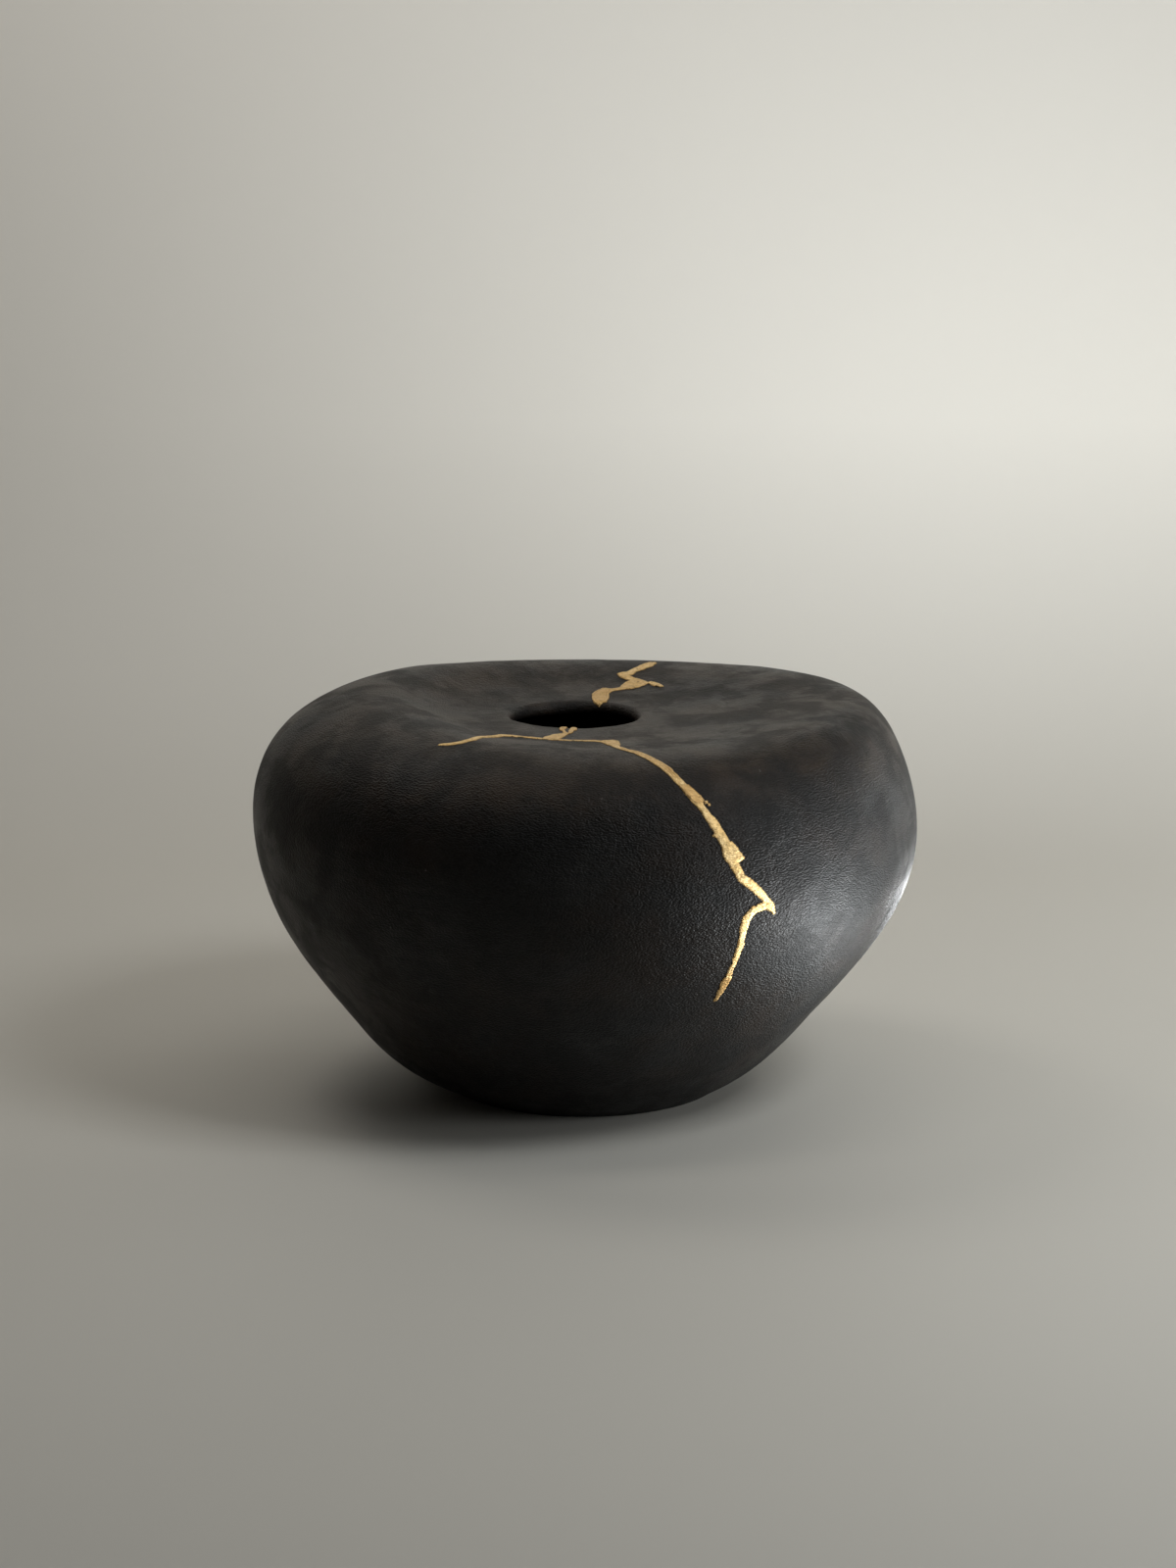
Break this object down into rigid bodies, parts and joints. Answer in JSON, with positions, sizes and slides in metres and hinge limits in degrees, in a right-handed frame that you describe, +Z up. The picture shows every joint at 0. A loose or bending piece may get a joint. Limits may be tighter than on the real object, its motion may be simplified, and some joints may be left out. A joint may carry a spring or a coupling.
{
  "type": "kintsugi vase",
  "caption": "Squat hand-pressed stoneware vase, hollow, with a small round mouth in a dished top, a flat foot, and cracks in its top and front mended with gold.",
  "frame": {"origin": "middle of the flat underside, at the level of the surface that the vase stands on", "axes": "+Z up, -Y towards the front, which the picture shows, +X to the right seen from the front"},
  "size_m": [0.2801, 0.27, 0.1693],
  "materials": {
    "black_stoneware": "matt charcoal-black stoneware, brushed and finely pitted, with umber and grey clouding on the top and a satin sheen at grazing light",
    "gold": "wrinkled gold leaf over a lacquer fill, satin, with ragged edges and a few brown flecks where it has worn"
  },
  "bodies": {
    "root": {"vase_body": "black_stoneware", "gold_seam_front": "gold", "gold_seam_back": "gold"}
  },
  "joints": []
}
